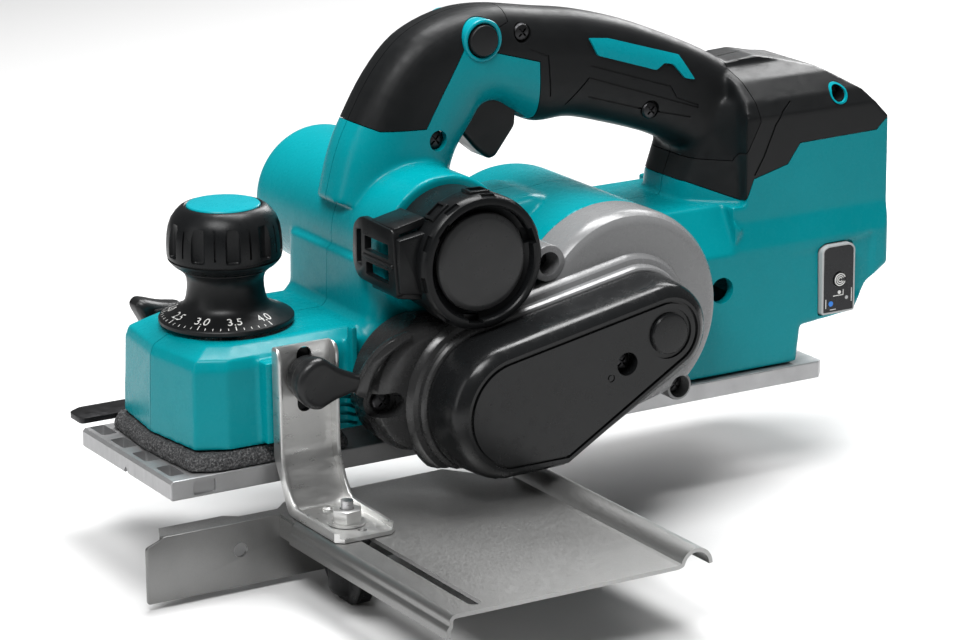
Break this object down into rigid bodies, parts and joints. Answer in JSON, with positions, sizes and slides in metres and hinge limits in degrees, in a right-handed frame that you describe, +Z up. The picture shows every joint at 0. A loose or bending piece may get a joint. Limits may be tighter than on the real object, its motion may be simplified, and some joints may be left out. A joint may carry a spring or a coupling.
{
  "type": "electric hand planer",
  "caption": "Cordless electric hand planer with a belt-driven cutter drum, depth knob, D-handle, chip tube and sheet-steel edge guide.",
  "frame": {"origin": "in the middle plane on the underside of the rear shoe, 226 mm behind the front edge of the front shoe", "axes": "+Z up from the sole, +X towards the rear of the tool, +Y towards its right-hand side, so the belt cover is on -Y"},
  "size_m": [0.3629, 0.256, 0.2105],
  "materials": {
    "teal_plastic": "fine satin moulded texture",
    "grip_rubber": "matte soft-touch",
    "black_plastic": "fine moulded texture",
    "dark_grey_plastic": "satin",
    "housing_grey": "matte grey paint on a casting",
    "panel_grey": "satin",
    "shoe_aluminium": "machined underside, cast top",
    "zinc_steel": "zinc-plated sheet",
    "bright_steel": "turned and plated",
    "foam": "soft open foam",
    "belt_rubber": "moulded",
    "copper_windings": "lacquered windings",
    "circuit_board": "potted board"
  },
  "bodies": {
    "body": {"casing_left": "teal_plastic", "casing_right": "teal_plastic", "front_grip_left": "grip_rubber", "front_grip_right": "grip_rubber", "grip_left": "grip_rubber", "grip_right": "grip_rubber", "rear_cap_left": "black_plastic", "rear_cap_right": "black_plastic", "belt_cover": "black_plastic", "switch_body": "black_plastic", "terminal_block": "black_plastic", "belt_housing": "housing_grey", "mode_panel": "panel_grey", "rear_shoe": "shoe_aluminium", "drum_bearing_left": "bright_steel", "drum_bearing_right": "bright_steel", "motor_bearing_left": "bright_steel", "motor_bearing_right": "bright_steel", "foot_pin": "bright_steel", "grip_screw_front": "bright_steel", "grip_screw_rear": "bright_steel", "housing_screw_top": "bright_steel", "housing_screw_front": "bright_steel", "housing_screw_rear": "bright_steel", "cover_screw": "bright_steel", "foam_strip": "foam", "drive_belt": "belt_rubber", "stator": "copper_windings", "controller_board": "circuit_board"},
    "shoe": {"front_shoe": "shoe_aluminium"},
    "knob": {"adjusting_bolt": "bright_steel", "depth_dial": "dark_grey_plastic", "depth_knob": "black_plastic", "knob_disc": "teal_plastic"},
    "drum": {"cutter_drum": "bright_steel", "blade_1": "zinc_steel", "blade_2": "zinc_steel", "blade_clamp_1": "bright_steel", "blade_clamp_2": "bright_steel", "driven_pulley": "shoe_aluminium"},
    "motor": {"motor_shaft": "bright_steel", "rotor": "bright_steel", "fan": "black_plastic", "drive_pulley": "shoe_aluminium"},
    "chute": {"chute_cover": "black_plastic", "chute_disc": "dark_grey_plastic"},
    "trigger": {"trigger": "dark_grey_plastic"},
    "lock_button": {"lock_button": "black_plastic"},
    "mode_button": {"mode_button": "dark_grey_plastic"},
    "guide_arm": {"guide_arm": "zinc_steel", "guide_bolt": "bright_steel", "guide_nut": "zinc_steel"},
    "guide_plate": {"guide_plate": "zinc_steel"},
    "guide_knob": {"guide_knob": "black_plastic"},
    "arm_lever": {"arm_lever": "black_plastic"},
    "depth_stop": {"depth_stop": "zinc_steel"},
    "stop_lever": {"stop_lever": "black_plastic"},
    "rear_foot": {"rear_foot": "black_plastic"}
  },
  "joints": [
    {"name": "shoe_slide", "type": "slide", "parent": "body", "child": "shoe", "axis": [0, 0, 1], "range_m": [0, 0.004], "deforming": ["foam_strip"]},
    {"name": "depth_knob_turn", "type": "hinge", "parent": "body", "child": "knob", "pos_m": [-0.1795, 0, 0.057], "axis": [0, 0, 1], "range_deg": [-281, 0.5]},
    {"name": "drum_spin", "type": "hinge", "parent": "body", "child": "drum", "pos_m": [-0.097, 0, 0.027], "axis": [0, 1, 0], "continuous": true},
    {"name": "motor_spin", "type": "hinge", "parent": "body", "child": "motor", "pos_m": [-0.027, 0, 0.049], "axis": [0, 1, 0], "continuous": true},
    {"name": "chute_cover_pull", "type": "slide", "parent": "body", "child": "chute", "axis": [0, -1, 0], "range_m": [0, 0.03]},
    {"name": "trigger_pull", "type": "hinge", "parent": "body", "child": "trigger", "pos_m": [-0.072, 0, 0.131], "axis": [0, -1, 0], "range_deg": [0, 12], "stiffness_Nm_per_rad": 0.2, "springref_deg": -17.19},
    {"name": "lock_button_push", "type": "slide", "parent": "body", "child": "lock_button", "axis": [0, 1, 0], "range_m": [-0.003, 0.003], "stiffness_N_per_m": 400},
    {"name": "mode_button_press", "type": "slide", "parent": "body", "child": "mode_button", "axis": [0, 1, 0], "range_m": [0, 0.0006], "stiffness_N_per_m": 500, "springref_m": -0.001},
    {"name": "guide_height", "type": "slide", "parent": "body", "child": "guide_arm", "axis": [0, 0, 1], "range_m": [-0.008, 0.003]},
    {"name": "guide_slide", "type": "slide", "parent": "guide_arm", "child": "guide_plate", "axis": [0, 1, 0], "range_m": [-0.008, 0.095]},
    {"name": "guide_knob_turn", "type": "hinge", "parent": "guide_arm", "child": "guide_knob", "pos_m": [-0.1697, -0.08, -0.0096], "axis": [0, 0, 1], "range_deg": [0, 180]},
    {"name": "arm_lever_turn", "type": "hinge", "parent": "body", "child": "arm_lever", "pos_m": [-0.169, -0.051, 0.0435], "axis": [0, 1, 0], "range_deg": [0, 90]},
    {"name": "depth_stop_slide", "type": "slide", "parent": "body", "child": "depth_stop", "axis": [0, 0, 1], "range_m": [0, 0.02]},
    {"name": "stop_lever_turn", "type": "hinge", "parent": "body", "child": "stop_lever", "pos_m": [-0.183, 0.045, 0.044], "axis": [0, 1, 0], "range_deg": [0, 75]},
    {"name": "rear_foot_swing", "type": "hinge", "parent": "body", "child": "rear_foot", "pos_m": [0.0785, 0.027, 0.012], "axis": [0, -1, 0], "range_deg": [0, 35]}
  ],
  "couplings": [
    {"joint": "depth_knob_turn", "follows": "shoe_slide", "rad_per_m": -1221.7},
    {"joint": "motor_spin", "follows": "drum_spin", "ratio": 2.625}
  ]
}
